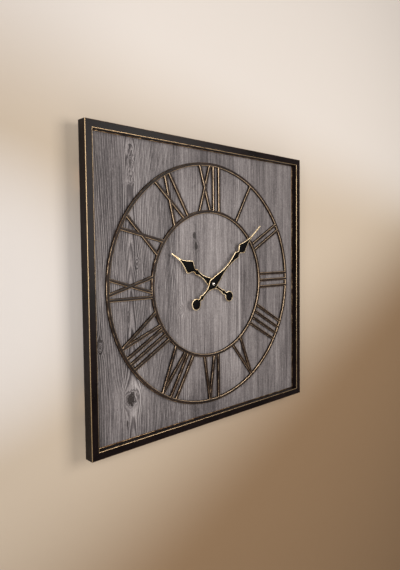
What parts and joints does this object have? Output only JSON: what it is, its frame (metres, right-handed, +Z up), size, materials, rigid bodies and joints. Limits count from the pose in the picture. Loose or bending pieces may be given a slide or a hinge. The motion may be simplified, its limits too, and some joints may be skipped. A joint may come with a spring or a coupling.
{
  "type": "wall clock",
  "caption": "Square wall clock: mitred black frame, vertical planks, open ring dial with Roman numerals, spade hands and a quartz movement.",
  "frame": {"origin": "point of the wall plane straight behind the hand axis", "axes": "+X to the right as the clock is seen, +Y into the wall, +Z up"},
  "size_m": [0.6, 0.0405, 0.6],
  "materials": {
    "frame_paint": "satin black paint over wood, edges rubbed through to gold",
    "plank_wood": "weathered grey-brown wash over open grain",
    "batten_wood": "bare planed softwood",
    "zinc": "bright zinc plate",
    "plate_steel": "rolled zinc-plated steel",
    "felt": "pressed felt",
    "dial_bronze": "dark bronze paint, edges rubbed with gold",
    "pin_brass": "drawn wire",
    "hand_black": "satin black with a gold border",
    "brass": "turned",
    "nut_steel": "polished",
    "rubber": "matt",
    "case_plastic": "fine spark texture",
    "cover_plastic": "fine spark texture",
    "plate_plastic": "moulded",
    "wheel_plastic": "moulded acetal",
    "iron": "stamped sheet",
    "copper": "enamelled copper wire",
    "board_green": "solder mask",
    "crystal_can": "drawn can",
    "nickel": "nickel plated strip",
    "cell_wrap": "plain shrink wrap",
    "arbor_steel": "turned",
    "knob_plastic": "moulded"
  },
  "bodies": {
    "clock_body": {"frame_top_rail": "frame_paint", "frame_bottom_rail": "frame_paint", "frame_left_rail": "frame_paint", "frame_right_rail": "frame_paint", "plank_left": "plank_wood", "plank_centre": "plank_wood", "plank_right": "plank_wood", "batten_upper": "batten_wood", "batten_lower": "batten_wood", "batten_screws": "zinc", "corner_plates": "plate_steel", "plate_screws": "zinc", "hanger_plate": "plate_steel", "wall_pads": "felt", "dial_outer_ring": "dial_bronze", "dial_inner_ring": "dial_bronze", "dial_pins": "pin_brass", "numeral_01": "dial_bronze", "numeral_02": "dial_bronze", "numeral_03": "dial_bronze", "numeral_04": "dial_bronze", "numeral_05": "dial_bronze", "numeral_06": "dial_bronze", "numeral_07": "dial_bronze", "numeral_08": "dial_bronze", "numeral_09": "dial_bronze", "numeral_10": "dial_bronze", "numeral_11": "dial_bronze", "numeral_12": "dial_bronze", "movement_case": "case_plastic", "movement_cover": "cover_plastic", "train_plate": "plate_plastic", "train_screws": "zinc", "threaded_stem": "brass", "rubber_gasket": "rubber", "brass_washer": "brass", "hex_nut": "brass", "stator": "iron", "coil_bobbin": "plate_plastic", "coil_winding": "copper", "circuit_board": "board_green", "quartz_crystal": "crystal_can", "positive_contact": "nickel", "negative_contact": "nickel", "battery_cell": "cell_wrap"},
    "minute_hand": {"minute_hand": "hand_black", "minute_hand_bush": "brass", "hand_nut": "nut_steel", "minute_arbor": "arbor_steel"},
    "hour_hand": {"hour_hand": "hand_black", "hour_hand_bush": "brass", "hour_wheel": "wheel_plastic"},
    "minute_wheel": {"minute_wheel": "wheel_plastic"},
    "setting_knob": {"setting_knob": "knob_plastic"},
    "rotor": {"rotor": "wheel_plastic"},
    "intermediate_wheel": {"intermediate_wheel": "wheel_plastic"},
    "seconds_wheel": {"seconds_wheel": "wheel_plastic"},
    "third_wheel": {"third_wheel": "wheel_plastic"},
    "centre_wheel": {"centre_wheel": "brass"}
  },
  "joints": [
    {"name": "minute_hand_turn", "type": "hinge", "parent": "clock_body", "child": "minute_hand", "pos_m": [0, -0.035, 0], "axis": [0, 1, 0], "continuous": true},
    {"name": "hour_hand_turn", "type": "hinge", "parent": "clock_body", "child": "hour_hand", "pos_m": [0, -0.0325, 0], "axis": [0, 1, 0], "continuous": true},
    {"name": "minute_wheel_turn", "type": "hinge", "parent": "clock_body", "child": "minute_wheel", "pos_m": [-0.00927, -0.0131, -0.00248], "axis": [0, 1, 0], "continuous": true},
    {"name": "setting_knob_turn", "type": "hinge", "parent": "clock_body", "child": "setting_knob", "pos_m": [-0.01855, -0.0011, 0], "axis": [0, 1, 0], "continuous": true},
    {"name": "rotor_turn", "type": "hinge", "parent": "clock_body", "child": "rotor", "pos_m": [0.01297, -0.0122, 0.01579], "axis": [0, 1, 0], "continuous": true},
    {"name": "intermediate_wheel_turn", "type": "hinge", "parent": "clock_body", "child": "intermediate_wheel", "pos_m": [0.01834, -0.0062, 0.01129], "axis": [0, 1, 0], "continuous": true},
    {"name": "seconds_wheel_turn", "type": "hinge", "parent": "clock_body", "child": "seconds_wheel", "pos_m": [0.01324, -0.0079, 0.0062], "axis": [0, 1, 0], "continuous": true},
    {"name": "third_wheel_turn", "type": "hinge", "parent": "clock_body", "child": "third_wheel", "pos_m": [0.00526, -0.0097, 0.0091], "axis": [0, 1, 0], "continuous": true},
    {"name": "centre_wheel_turn", "type": "hinge", "parent": "clock_body", "child": "centre_wheel", "pos_m": [0, -0.0115, 0], "axis": [0, 1, 0], "continuous": true}
  ],
  "couplings": [
    {"joint": "hour_hand_turn", "follows": "minute_hand_turn", "ratio": 0.083333},
    {"joint": "minute_wheel_turn", "follows": "minute_hand_turn", "ratio": -0.33333},
    {"joint": "setting_knob_turn", "follows": "minute_hand_turn", "ratio": 1},
    {"joint": "intermediate_wheel_turn", "follows": "rotor_turn", "ratio": -0.16667},
    {"joint": "seconds_wheel_turn", "follows": "rotor_turn", "ratio": 0.033333},
    {"joint": "third_wheel_turn", "follows": "rotor_turn", "ratio": -0.0044444},
    {"joint": "centre_wheel_turn", "follows": "rotor_turn", "ratio": 0.00055556}
  ]
}
